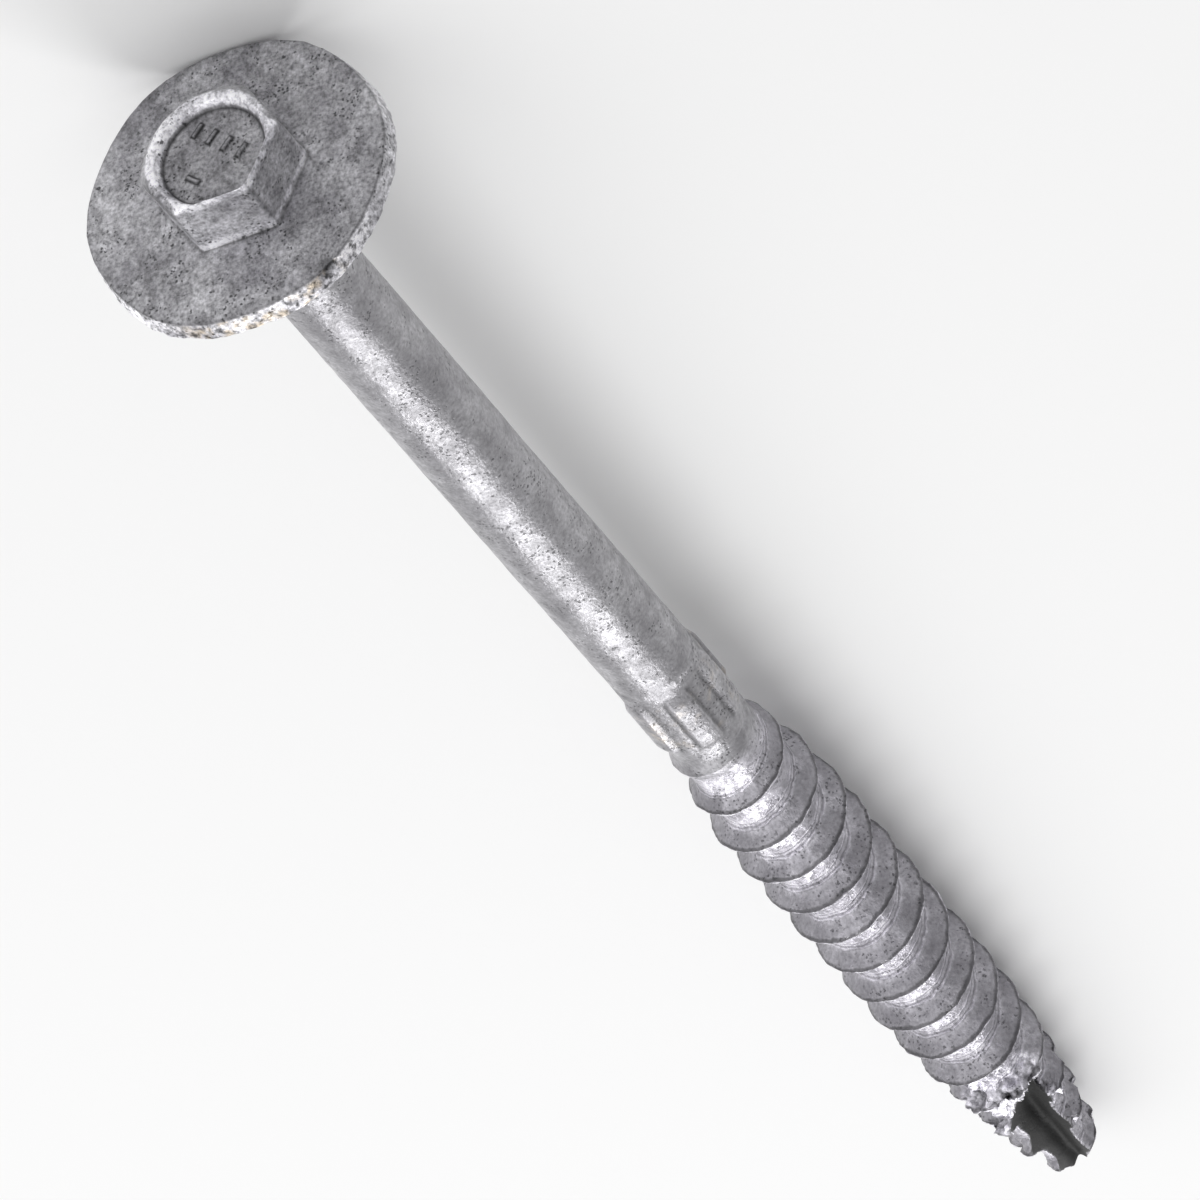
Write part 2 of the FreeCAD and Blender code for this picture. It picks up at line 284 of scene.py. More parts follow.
class Shape:
    """The screw's sizes in millimetres, and the formulas for its surfaces."""

    def __init__(self, sizes):
        self.length = sizes.length / MM
        self.shank = sizes.shank / MM / 2
        self.washer = sizes.washer / MM / 2
        self.thick = sizes.washer_thick / MM
        self.flats = sizes.flats / MM / 2
        self.hex_height = sizes.hex_height / MM
        self.top = -self.thick - self.hex_height
        self.dish = sizes.dish_depth / MM
        self.crest = sizes.thread / MM / 2
        self.root = sizes.root / MM / 2
        self.rib = sizes.rib / MM / 2
        self.pitch = sizes.pitch / MM

    def hex_radius(self, turn):
        """Hexagon with softly rounded corners, its corners at 0, 60 degrees and so on."""
        total = np.zeros_like(turn)
        for k in range(6):
            across = np.cos(turn - math.radians(30 + 60 * k)) / self.flats
            total += np.maximum(across, 0.0) ** HEX_SHARPNESS
        return total ** (-1 / HEX_SHARPNESS)

    def dish_radius(self, turn, radius, wall):
        """The dish's round, cut short where it comes near the hex's flats."""
        return np.minimum(circle_about(turn, radius, DISH_CENTRE), self.hex_radius(turn) - wall)

    def washer_radius(self, turn, radius):
        """Round with six shallow lobes, which leave short flats between them."""
        return radius + WASHER_LOBE * np.cos(6 * turn)

    def run_in(self, x):
        """How far the thread has risen out of the shank, from 0 to 1."""
        reach = (x - THREAD_START) / (THREAD_FULL - THREAD_START)
        return np.clip(reach, 0.0, 1.0) ** RUN_IN_POWER

    def drawn_in(self, x):
        """The share of its full size that a section keeps towards the point."""
        start = self.length - TAPER_LENGTH
        reach = np.maximum(0.0, (x - start) / (TAPER_LENGTH + POINT_SKIP))
        return (1.0 - reach ** TAPER_POWER) ** TAPER_BLUNT

    def ridge(self, offset):
        """Height of the full thread at an axial distance from its crest."""
        slope = FLANK_SLOPE * (np.hypot(offset, CREST_ROUND) - CREST_ROUND)
        straight = self.crest - self.root - slope
        return (straight + np.hypot(straight, ROOT_ROUND)) / 2

    def thread_radius(self, x, turn):
        """Radius of the threaded part, saw teeth included."""
        crest = THREAD_FULL + self.pitch * (turn - CREST_TURN) / (2 * math.pi)
        turns = np.round((x - crest) / self.pitch)
        offset = x - crest - turns * self.pitch
        scale = self.drawn_in(x)
        radius = scale * (self.root + self.run_in(x) * self.ridge(offset))
        first = self.length - TOOTH_LENGTH
        along = (crest + turns * self.pitch - first) / self.pitch * TEETH_PER_TURN
        phase = along - np.floor(along)
        depth = TOOTH_DEPTH * np.maximum(0.0, 1.0 - phase / TOOTH_SHARE)
        inside = (x > first) & (x < self.length - TOOTH_STOP)
        limit = scale * (self.root + self.ridge(0.0) - depth)
        return np.where(inside, np.minimum(radius, np.maximum(limit, scale * self.root)), radius)

    def rib_radius(self, x, turn):
        """Radius of the shank with its ribs."""
        pitch = 2 * math.pi / RIB_COUNT
        aside = (turn - RIB_FIRST + pitch / 2) % pitch - pitch / 2
        wide = smooth((RIB_ANGLE / 2 - np.abs(aside)) / RIB_EDGE + 0.5)
        start = smooth((x - RIB_START) / RIB_RAMP)
        end = smooth((RIB_END - x) / (RIB_RAMP / 2))
        return self.shank + (self.rib - self.shank) * wide * start * end

    def body_radius(self, x, turn):
        """Radius from under the head to the point."""
        step = smooth((x - RIB_END) / (THREAD_START - RIB_END))
        return (self.rib_radius(x, turn) * (1 - step)
                + self.thread_radius(x, turn) * step)


def smooth(value):
    """Eases from 0 to 1."""
    value = np.clip(value, 0.0, 1.0)
    return value * value * (3 - 2 * value)


def line_at(distance, wide):
    """1 on a line, fading to 0 on both sides of it."""
    return np.exp(-(distance / wide) ** 2)


def around(turn, middle, half, soft):
    """1 near a direction around the screw, easing to 0 at half an angle from it."""
    away = np.abs((turn - middle + math.pi) % (2 * math.pi) - math.pi)
    return smooth((half - away) / soft)


def circle_about(turn, radius, centre):
    """Distance from the axis to a circle whose centre lies off the axis."""
    shift, direction = centre
    aside = shift * np.sin(turn - direction)
    return shift * np.cos(turn - direction) + np.sqrt(radius ** 2 - aside ** 2)


def head_rings(shape):
    """Rings of the head, from the middle of its dish to just under the washer."""
    turn = np.arange(HEAD_COLUMNS) * 2 * math.pi / HEAD_COLUMNS
    flat = np.ones_like(turn)
    hexagon = shape.hex_radius(turn)
    floor = shape.top + shape.dish
    under = shape.washer_radius(turn, shape.washer)
    over = under - shape.thick * math.tan(WASHER_DRAFT)
    shift, direction = CHAMFER_CENTRE
    away = np.sqrt(hexagon ** 2 + shift ** 2
                   - 2 * hexagon * shift * np.cos(turn - direction))
    corners = [
        (floor * flat, FIRST_RING * flat),
        (floor * flat, shape.dish_radius(turn, DISH_FLOOR, FLOOR_WALL)),
        (shape.top * flat, shape.dish_radius(turn, DISH_MOUTH, MOUTH_WALL)),
        (shape.top * flat, np.minimum(circle_about(turn, CHAMFER, CHAMFER_CENTRE), hexagon)),
        (shape.top + CHAMFER_SLOPE * np.maximum(0.0, away - CHAMFER), hexagon),
        (-shape.thick * flat, hexagon),
        (-shape.thick * flat, over),
        (0.0 * flat, under),
        (0.0 * flat, (shape.shank + UNDERHEAD_FILLET / 2) * flat),
        (UNDERHEAD_FILLET / 2 * flat, shape.shank * flat),
        (BODY_START * flat, shape.shank * flat),
    ]
    xs, radii, bends = [], [], [0]
    for (x0, r0), (x1, r1) in zip(corners, corners[1:]):
        count = max(2, int(np.hypot(x1 - x0, r1 - r0).mean() / PROFILE_STEP))
        for k in range(count):
            xs.append(x0 + (x1 - x0) * k / count)
            radii.append(r0 + (r1 - r0) * k / count)
        bends.append(len(xs))
    xs, radii = np.array(xs), np.array(radii)
    xs, radii = rounded(xs), rounded(radii)
    radii[0] = FIRST_RING
    # Rings lie close together at the bends and on the dish's floor
    index = np.arange(len(xs))
    nearest = np.min(np.abs(index[:, None] - np.array(bends)[None, :]), axis=1)
    spacing = NEAR_SPACING + (nearest - BEND_REACH) * SPACING_GROWTH
    spacing = np.clip(spacing, NEAR_SPACING, FAR_SPACING)
    spacing[:bends[1]] = NEAR_SPACING
    steps = np.cumsum(1 / spacing)
    rings = []
    for k in range(int(steps[-1])):
        i = int(np.searchsorted(steps, k))
        rings.append(np.stack([xs[i], radii[i] * np.cos(turn), radii[i] * np.sin(turn)], axis=1))
    return rings


def rounded(rows):
    """Rows of a profile with its corners rounded, as zinc rounds a forging's."""
    weights = np.exp(-0.5 * (np.arange(-CORNER_REACH, CORNER_REACH + 1) / CORNER_SOFT) ** 2)
    weights /= weights.sum()
    padded = np.concatenate([rows[:1]] * CORNER_REACH + [rows] + [rows[-1:]] * CORNER_REACH)
    return sum(w * padded[k:k + len(rows)] for k, w in enumerate(weights))


def body_stations(shape):
    """Distances along the screw at which its rings stand."""
    before_ribs = RIB_START - 0.6
    plain = np.arange(BODY_START + SHANK_STEP, before_ribs, SHANK_STEP)
    ribbed = np.arange(before_ribs, THREAD_START, RIB_STEP)
    threaded = np.linspace(THREAD_START, shape.length,
                           int((shape.length - THREAD_START) / THREAD_STEP))
    return np.concatenate([plain, ribbed, threaded])


def fluted_section(shape, x, count):
    """Section with the flute's two walls cut in, as (y, z) points in order, and
    how far each lies in the flute. None where the cutter misses the section."""
    begin = shape.length - FLUTE_LENGTH
    sunk = float(shape.drawn_in(np.array(begin))) * shape.crest - FLUTE_CORE
    deepest = begin + math.sqrt(FLUTE_WHEEL ** 2 - (FLUTE_WHEEL - sunk) ** 2)
    short = min(x - deepest, 0.0)

    def depth(y):
        """How deep the cutting wheel reaches in at this section."""
        return FLUTE_WHEEL - np.hypot(short, y - FLUTE_CORE - FLUTE_WHEEL)

    turn = math.pi + np.linspace(0, 2 * math.pi, SECTION_POINTS)
    radius = shape.thread_radius(np.full_like(turn, x), turn + FLUTE_TURN)
    y, z = radius * np.cos(turn), radius * np.sin(turn)
    cut = (depth(y) * FLUTE_STEEP < z) & (z < depth(y) * FLUTE_SLOPING)
    if not cut.any():
        return None
    first, last = int(np.argmax(cut)), len(cut) - 1 - int(np.argmax(cut[::-1]))
    bottom = FLUTE_CORE + FLUTE_WHEEL - math.sqrt(FLUTE_WHEEL ** 2 - short ** 2)
    walls = []
    for lip, slope in ((first - 1, FLUTE_STEEP), (last + 1, FLUTE_SLOPING)):
        down = y[lip] + (bottom - y[lip]) * np.linspace(0, 1, WALL_POINTS)[1:]
        walls.append(np.stack([down, depth(down) * slope], axis=1))
    outline = np.stack([y, z], axis=1)
    walls = np.concatenate([walls[0], walls[1][::-1]])
    # The cutter's edge leaves a rounded bottom
    for _ in range(ROUNDING_PASSES):
        walls[1:-1] = (walls[:-2] + walls[2:]) / 2
    # Points are spread evenly, but closer on the walls and fewer on a tooth's step
    line = np.concatenate([outline[:first], walls, outline[last + 1:]])
    inside = np.zeros(len(line))
    inside[first:first + len(walls)] = 1.0
    step = np.hypot(*np.diff(line, axis=0).T)
    step = np.where(inside[1:] > 0, step * 1.6, np.minimum(step, 0.08))
    along = np.concatenate([[0.0], np.cumsum(step)])
    pick = along[-1] * np.arange(count) / count
    y, z = np.interp(pick, along, line[:, 0]), np.interp(pick, along, line[:, 1])
    c, s = math.cos(FLUTE_TURN), math.sin(FLUTE_TURN)
    return y * c - z * s, y * s + z * c, np.interp(pick, along, inside)


def body_rings(shape):
    """Rings from under the washer to the point, and how far each lies in the flute."""
    turn = FLUTE_TURN + math.pi + np.arange(SHANK_COLUMNS) * 2 * math.pi / SHANK_COLUMNS
    rings, flute = [], []
    for x in body_stations(shape):
        section = None
        if x > shape.length - FLUTE_LENGTH - 1.0:
            section = fluted_section(shape, x, SHANK_COLUMNS)
        if section is None:
            radius = shape.body_radius(np.full_like(turn, x), turn)
            rings.append(np.stack([np.full_like(turn, x), radius * np.cos(turn),
                                   radius * np.sin(turn)], axis=1))
            flute.append(np.zeros_like(turn))
        else:
            rings.append(np.stack([np.full_like(turn, x), section[0], section[1]], axis=1))
            flute.append(section[2])
    return rings, flute


def skin(rings):
    """Vertices and faces of rings closed at both ends, where a ring may have
    half as many points as the one before it."""
    points = [rings[0].mean(axis=0)[None, :]] + rings + [rings[-1].mean(axis=0)[None, :]]
    starts = np.cumsum([0] + [len(ring) for ring in points])
    faces = []
    count = len(rings[0])
    faces += [(0, 1 + (j + 1) % count, 1 + j) for j in range(count)]
    for k in range(1, len(rings)):
        a, b = int(starts[k]), int(starts[k + 1])
        n, m = len(points[k]), len(points[k + 1])
        if n == m:
            faces += [(a + j, a + (j + 1) % n, b + (j + 1) % n, b + j) for j in range(n)]
        else:
            for j in range(m):
                mid, end = a + 2 * j + 1, a + (2 * j + 2) % n
                near, far = b + j, b + (j + 1) % m
                faces += [(a + 2 * j, mid, near), (mid, far, near), (mid, end, far)]
    a, last, n = int(starts[-3]), int(starts[-2]), len(points[-2])
    faces += [(a + j, a + (j + 1) % n, last) for j in range(n)]
    return np.concatenate(points), faces


def bars(y, z):
    """How far a point of the dish's floor lies on a raised bar, from 0 to 1."""
    along = y * math.cos(BARS_TURN) + z * math.sin(BARS_TURN)
    aside = -y * math.sin(BARS_TURN) + z * math.cos(BARS_TURN)
    places = [(BARS_START + k * BARS_PITCH, BARS_ASIDE, BAR_WIDE, BAR_LONG)
              for k in range(BARS_COUNT)]
    places.append((*LONE_BAR, BAR_LONG, BAR_WIDE))
    best = np.zeros_like(y)
    for u, v, wide, high in places:
        gap = np.maximum(np.abs(along - u) - wide / 2, np.abs(aside - v) - high / 2)
        best = np.maximum(best, smooth(0.5 - gap / BAR_EASE))
    return best


def layered(points, size, octaves=1):
    """Smooth noise at points, with lumps of about the given size."""
    total = np.zeros(len(points))
    for k in range(octaves):
        scale = 2.0 ** k / size
        total += np.array([noise.noise(Vector(p)) for p in points * scale]) / 1.7 ** k
    return total


class Coat:
    """Zinc on the screw's points: how far it stands out, in millimetres, and the
    marks that the finish follows, painted light and shade among them. Each has
    one value for every point.

    Plain numbers in these methods are strengths, or the widths over which a
    mark eases off, in millimetres or radians.
    """

    def __init__(self, shape, points, flute, finish):
        self.shape = shape
        self.flute = flute
        self.x, self.y, self.z = points.T
        self.radius = np.hypot(self.y, self.z)
        self.turn = np.arctan2(self.z, self.y)
        broad = layered(points, BROAD_LUMPS)
        self.middle = layered(points + MIDDLE_FROM, MIDDLE_LUMPS, 2)
        self.fine = layered(points + FINE_FROM, FINE_LUMPS, 2)
        self.thread = smooth((self.x - THREAD_START - 0.5) / 3.0) * (1 - flute)
        # Where the thread's root gets a painted highlight, on its lit side
        self.root_light = self.thread * around(self.turn, ROOT_LIGHT_TURN, ROOT_LIGHT_WIDE, 0.6)
        self.out = finish.lumps / MM * (0.8 * broad + 0.7 * self.middle + 0.35 * self.fine)
        self.out += self.thread * (0.05 * self.middle + 0.04 * self.fine)
        # Tone of the zinc, with painted light and shade multiplied in
        self.tone_and_painted_light = np.ones_like(self.x)
        self.crust_washer(finish.crust / MM)
        self.mark_dish()
        self.mark_hex()
        self.tear_flute()
        self.shade_flute()
        self.mark_ribs()

    def marks(self):
        """The marks by the names under which the material reads them."""
        return {"tone_and_painted_light": np.clip(self.tone_and_painted_light, 0.06, 2.2), "crust": self.crust,
                "stain": self.stain, "flute": self.flute, "thread": self.thread,
                "calm": self.calm, "root_light": self.root_light}

    def crust_washer(self, height):
        """Crust on the washer's edge, paler on its lit side as painted light, with a stain and
        one chip.
        """
        x, radius, turn = self.x, self.radius, self.turn
        edge = smooth((radius - EDGE_RADIUS) / 0.4) * smooth((x - EDGE_TOP) / 0.25)
        self.out += edge * height * (0.5 * self.middle + 0.9 * self.fine)
        # The crust is painted paler towards its lit side
        self.crust = edge * (0.35 + 0.65 * smooth((turn - CRUST_LIT_TURN) / 0.5))
        self.stain = edge * around(turn, STAIN_TURN, STAIN_WIDE, 0.3)
        chip = np.exp(-(radius * (turn - CHIP_TURN) / CHIP_WIDE) ** 4)
        chip *= line_at(x - CHIP_ALONG, CHIP_HIGH) * (radius > EDGE_RADIUS)
        self.out -= CHIP_DEPTH * chip
        self.tone_and_painted_light *= 1 - 0.95 * chip
        # Dark line between the washer's face and its edge
        self.tone_and_painted_light *= 1 - 0.45 * (radius > 10.5) * line_at(x + 1.60, 0.07)

    def mark_dish(self):
        """Dish with raised bars, painted shade on its floor and round the bars, and a rough rim
        with a painted highlight that is strongest on its far side.
        """
        shape, x, turn = self.shape, self.x, self.turn
        shift, direction = CHAMFER_CENTRE
        from_middle = np.hypot(self.y - shift * math.cos(direction),
                               self.z - shift * math.sin(direction))
        from_floor = self.radius - shape.dish_radius(turn, DISH_FLOOR, FLOOR_WALL)
        on_top = self.on_head() & (x < shape.top + 1.6)
        on_floor = on_top & (np.abs(x - shape.top - shape.dish) < 0.1) & (from_floor < 0)
        raised = np.where(on_floor, bars(self.y, self.z), 0.0)
        self.out += BAR_HEIGHT * raised
        # Painted shade outlines the bars and darkens the dish's floor, with a painted shadow line
        # along the floor's edge
        self.tone_and_painted_light *= 1 - 0.92 * 4 * raised * (1 - raised)
        self.tone_and_painted_light *= 1 - 0.25 * on_top * smooth(-from_floor / 0.15)
        self.tone_and_painted_light *= 1 - 0.85 * on_top * line_at(from_floor, 0.12)
        rim = on_top * smooth((from_floor - 0.10) / 0.12) * (x - shape.top < 0.7)
        rim = rim * smooth((CHAMFER + 0.15 - from_middle) / 0.25)
        self.out += 0.05 * rim * (self.middle + self.fine)
        # Painted highlight on the rim, weaker on the side the camera sees
        far = 1 - 0.6 * around(turn, HEX_SEEN, math.radians(66.0), 0.3)
        self.tone_and_painted_light *= 1 + rim * far * (1.35 + 1.1 * self.fine)

    def mark_hex(self):
        """Painted highlights along the top and the foot of the hex, painted light on the face
        that looks up, and painted shade along one corner, on the unseen faces' tops and on the
        washer at the hex's foot.
        """
        shape, x, turn = self.shape, self.x, self.turn
        hexagon = shape.hex_radius(turn)
        side = self.on_head() & (np.abs(self.radius - hexagon) < 0.5)
        seen = around(turn, HEX_SEEN, math.radians(62.0), 0.06)
        # Painted highlights along the hex's foot and, on the faces the camera sees, along its top
        # edge
        foot_highlight = line_at(x + shape.thick + 0.40, 0.24) * (1 + self.fine)
        top = line_at(x - shape.top - 0.20, 0.17) * seen
        self.tone_and_painted_light *= 1 + side * (1.40 * foot_highlight + 2.00 * top)
        # Painted shade on the upper part of the faces the camera doesn't see
        self.tone_and_painted_light *= 1 - 0.35 * side * (x < shape.top + 1.6) * (1 - seen)
        # Painted light on the face that looks up
        self.tone_and_painted_light *= 1 + 0.18 * side * around(turn, HEX_FRONT, math.radians(31.0), 0.04)
        # Painted shade along one corner
        self.tone_and_painted_light *= 1 - 0.4 * side * line_at(self.radius * (turn - HEX_SHADED_CORNER), 0.16)
        # Painted shade on the washer at the foot of the hex
        foot_shade = (line_at(x + shape.thick, 0.12)
                      * line_at(self.radius - hexagon - 0.12, 0.16))
        self.tone_and_painted_light *= 1 - 0.55 * (x < -shape.thick + 0.2) * foot_shade

    def on_head(self):
        """Which points lie above the washer's face."""
        return self.x < -self.shape.thick - 0.05

    def tear_flute(self):
        """Torn, crusted zinc beside the flute, and clogged saw teeth."""
        x, middle, fine = self.x, self.middle, self.fine
        outside = 1 - self.flute
        begin = self.shape.length - FLUTE_LENGTH
        torn = smooth((x - begin + TORN_BEFORE) / 1.5) * smooth((begin + TORN_BEYOND - x) / 2.0)
        torn *= around(self.turn, TORN_TURN, TORN_WIDE, 0.25) * outside
        clogged = smooth((x - (self.shape.length - TOOTH_LENGTH - 2)) / 3.0) * outside
        self.out += clogged * (0.08 * middle + 0.10 * fine)
        self.out += torn * (0.20 - 0.9 * np.abs(middle) + 0.35 * fine)
        self.tone_and_painted_light *= 1 + torn * (0.45 + 1.4 * middle + 1.6 * fine)
        self.calm = smooth((x - 1.0) / 2.0) * outside * (1 - torn)

    def shade_flute(self):
        """Painted shade on the flute's steep wall and bottom, and painted light that makes it
        lighter at the point.
        """
        flute, radius = self.flute, self.radius
        across = (self.turn - FLUTE_TURN + math.pi) % (2 * math.pi) - math.pi
        steep = smooth((0.65 - across) / 0.3) * smooth((radius - 0.6) / 0.8)
        # Painted shade on the steep wall and on the bottom
        self.tone_and_painted_light *= 1 - 0.40 * flute * steep
        self.tone_and_painted_light *= 1 - 0.70 * flute * smooth((1.9 - radius) / 1.2)
        # Painted light towards the point
        near_point = smooth((self.x - self.shape.length + 10.0) / 8.0)
        self.tone_and_painted_light *= 1 + flute * (0.45 * near_point - 0.15)

    def mark_ribs(self):
        """Painted shade just outside each edge of a rib and a painted highlight just inside it,
        and some stain.
        """
        pitch = 2 * math.pi / RIB_COUNT
        aside = np.abs((self.turn - RIB_FIRST + pitch / 2) % pitch - pitch / 2)
        inward = (RIB_ANGLE / 2 - aside) * self.shape.shank
        ribbed = smooth((self.x - RIB_START) / 0.8) * smooth((RIB_END - self.x) / 0.5)
        # Painted shade and painted highlight along the ribs' edges
        self.tone_and_painted_light *= 1 - 0.50 * ribbed * line_at(inward + 0.18, 0.19)
        self.tone_and_painted_light *= 1 + 0.35 * ribbed * line_at(inward - 0.16, 0.15)
        self.stain = np.maximum(self.stain, 0.35 * ribbed * smooth(self.middle * 2))


def screw_rings(shape):
    """All rings from the dish to the point, and how far each point of the skin
    lies in the flute."""
    body, in_flute = body_rings(shape)
    # The body's rings start behind the flute, so the head's rings start there too
    shift = int(round((FLUTE_TURN + math.pi) / (2 * math.pi) * HEAD_COLUMNS))
    head = [np.roll(ring, -shift, axis=0) for ring in head_rings(shape)]
    flute = [np.zeros(1)] + [np.zeros(len(ring)) for ring in head] + in_flute + [np.zeros(1)]
    return head + body, np.concatenate(flute)


def in_frame(shape, points):
    """Points on the screw's own axis, in millimetres, as points of the frame."""
    drive = MOUNTS["hex_drive"]
    along = -Vector(drive["axis"])
    along.normalize()
    side = Vector((0, 1, 0))
    above = along.cross(side)
    # The drive's mount lies half-way up the hex
    bearing = Vector(drive["pos_m"]) / MM + along * (shape.thick + shape.hex_height / 2)
    return (np.array(bearing) + points @ np.array([along, side, above])) * MM


# Zinc finish

def node(tree, kind, place, **inputs):
    """A node with some values set, where an underscore stands for a space."""
    made = tree.nodes.new(kind)
    made.location = place
    for key, value in inputs.items():
        made.inputs[key.replace("_", " ")].default_value = value
    return made


def ramp(tree, place, value, stops):
    """Greys over a socket's value, from stops of (position, grey)."""
    made = tree.nodes.new("ShaderNodeValToRGB")
    made.location = place
    elements = made.color_ramp.elements
    while len(elements) < len(stops):
        elements.new(0.5)
    for element, (position, grey) in zip(elements, stops):
        element.position = position
        element.color = (grey, grey, grey, 1)
    tree.links.new(value, made.inputs["Fac"])
    return made.outputs["Color"]


def mixed(tree, place, factor, first, second, blend="MIX"):
    """Colour mix; first and second are sockets or colours."""
    made = tree.nodes.new("ShaderNodeMix")
    made.data_type = "RGBA"
    made.blend_type = blend
    made.location = place
    for socket, value in ((made.inputs["Factor"], factor),
                          (made.inputs[6], first), (made.inputs[7], second)):
        if isinstance(value, bpy.types.NodeSocket):
            tree.links.new(value, socket)
        elif isinstance(value, float):
            socket.default_value = value
        else:
            socket.default_value = (*value, 1)
    return made.outputs[2]


def noise_at(tree, place, vector, scale, detail=4.0):
    """Noise with features of about one over its scale, in metres."""
    made = node(tree, "ShaderNodeTexNoise", place, Scale=scale, Detail=detail, Roughness=0.6)
    tree.links.new(vector, made.inputs["Vector"])
    return made.outputs["Fac"]


def sums(tree, place, kind, first, second=0.5):
    """One step of arithmetic on two sockets or numbers."""
    made = tree.nodes.new("ShaderNodeMath")
    made.operation = kind
    made.location = place
    for socket, value in zip(made.inputs, (first, second)):
        if isinstance(value, bpy.types.NodeSocket):
            tree.links.new(value, socket)
        else:
            socket.default_value = value
    return made.outputs[0]


def pitted(tree, place, vector, scale, wide, share):
    """Ragged dots in clusters: how wide they are in their cells, and how much
    of the surface the clusters leave free."""
    x, y = place
    wander = node(tree, "ShaderNodeTexNoise", (x, y), Scale=scale * 1.7, Detail=2.0)
    tree.links.new(vector, wander.inputs["Vector"])
    moved = tree.nodes.new("ShaderNodeVectorMath")
    moved.operation = "MULTIPLY_ADD"
    moved.location = (x + 200, y)
    tree.links.new(wander.outputs["Color"], moved.inputs[0])
    moved.inputs[1].default_value = (0.9 / scale,) * 3
    tree.links.new(vector, moved.inputs[2])
    cells = node(tree, "ShaderNodeTexVoronoi", (x + 400, y), Scale=scale)
    tree.links.new(moved.outputs[0], cells.inputs["Vector"])
    dots = ramp(tree, (x + 600, y), cells.outputs["Distance"], [(wide * 0.6, 1.0), (wide, 0.0)])
    cloud = noise_at(tree, (x, y - 200), vector, scale / 6, 3.0)
    near = ramp(tree, (x + 400, y - 200), cloud, [(share, 0.0), (share + 0.07, 1.0)])
    return mixed(tree, (x + 800, y), 1.0, dots, near, "MULTIPLY")


def mark(tree, place, name, output="Fac"):
    """One of the marks that the coat leaves on the mesh."""
    made = tree.nodes.new("ShaderNodeAttribute")
    made.attribute_name = name
    made.location = place
    return made.outputs[output]


def painted_thread_bands(tree, place, where, patchy, shape):
    """Painted light and shade across the thread, by the distance from its crest:
    the flank that looks at the head gets painted shade, the crest a painted dark
    line and a painted highlight, and the root a painted highlight between thin
    bright arcs on its lit side."""
    px, py = place
    own = tree.nodes.new("ShaderNodeSeparateXYZ")
    own.location = (px, py)
    tree.links.new(mark(tree, (px - 200, py), "own", "Vector"), own.inputs[0])
    x, y, z = own.outputs
    turns = sums(tree, (px + 200, py), "ARCTAN2", z, y)
    turns = sums(tree, (px + 350, py), "DIVIDE", turns, 2 * math.pi)
    along = sums(tree, (px + 200, py - 200), "DIVIDE", x, shape.pitch)
    pitches = sums(tree, (px + 500, py), "SUBTRACT", along, turns)
    start = 0.5 - THREAD_FULL / shape.pitch + CREST_TURN / (2 * math.pi)
    pitches = sums(tree, (px + 550, py), "ADD", pitches, start)
    for scale, reach in BAND_WANDER:
        wander = noise_at(tree, (px + 350, py - 400), where, scale, 2.0)
        wander = sums(tree, (px + 450, py - 400), "SUBTRACT", wander, 0.5)
        wander = sums(tree, (px + 500, py - 400), "MULTIPLY", wander, reach)
        pitches = sums(tree, (px + 600, py), "ADD", pitches, wander)
    across = sums(tree, (px + 650, py), "FRACT", pitches)
    # Painted shade and painted highlights across the pitch
    painted_bands = mixed(tree, (px + 900, py + 200), 1.0,
                  ramp(tree, (px + 800, py), across, BAND_SHADING), BAND_TINT, "MULTIPLY")
    # Painted highlight on the root
    root = ramp(tree, (px + 800, py - 300), across, ROOT_HIGHLIGHTS)
    bright = mixed(tree, (px + 1000, py), 1.0, painted_bands, root, "MULTIPLY")
    # The root's painted highlight shows only on its lit side, in patches
    patches = ramp(tree, (px + 900, py + 400), patchy, [(0.38, 0.25), (0.58, 1.0)])
    root_light = mixed(tree, (px + 1100, py + 300), 1.0,
                  mark(tree, (px + 1000, py + 200), "root_light"), patches, "MULTIPLY")
    return mixed(tree, (px + 1200, py), root_light, painted_bands, bright)


def zinc_pits(tree, where):
    """Where the pits and specks are, fewer on shank and thread than on the head."""
    small = pitted(tree, (-1600, 100), where, 3000.0, 0.36, 0.50)
    large = pitted(tree, (-1600, -400), where, 1700.0, 0.26, 0.54)
    dots = mixed(tree, (-600, 0), 1.0, small, large, "LIGHTEN")
    few = ramp(tree, (-800, -900), mark(tree, (-1000, -900), "calm"), [(0.0, 1.0), (1.0, 0.78)])
    return mixed(tree, (-500, -100), 1.0, dots, few, "MULTIPLY")


def mottled_zinc(tree, finish, cloudy, middle, grain):
    """Patches of light and dark zinc with finer mottle and grit, and calmer zinc
    on shank and thread."""
    patches = ramp(tree, (-1300, 800), cloudy, [(0.36, 0.0), (0.66, 1.0)])
    colour = mixed(tree, (-1000, 800), patches, finish.dark, finish.light)
    mottle = ramp(tree, (-1300, 600), middle, [(0.32, 0.66), (0.50, 1.0), (0.68, 1.30)])
    colour = mixed(tree, (-800, 800), 1.0, colour, mottle, "MULTIPLY")
    grit = ramp(tree, (-1300, 400), grain, [(0.30, 0.62), (0.48, 1.0), (0.68, 1.35)])
    colour = mixed(tree, (-600, 800), 1.0, colour, grit, "MULTIPLY")
    still = ramp(tree, (-500, 1000), mark(tree, (-700, 1000), "calm"), [(0.0, 0.0), (1.0, 0.55)])
    return mixed(tree, (-400, 800), still, colour, finish.plain)


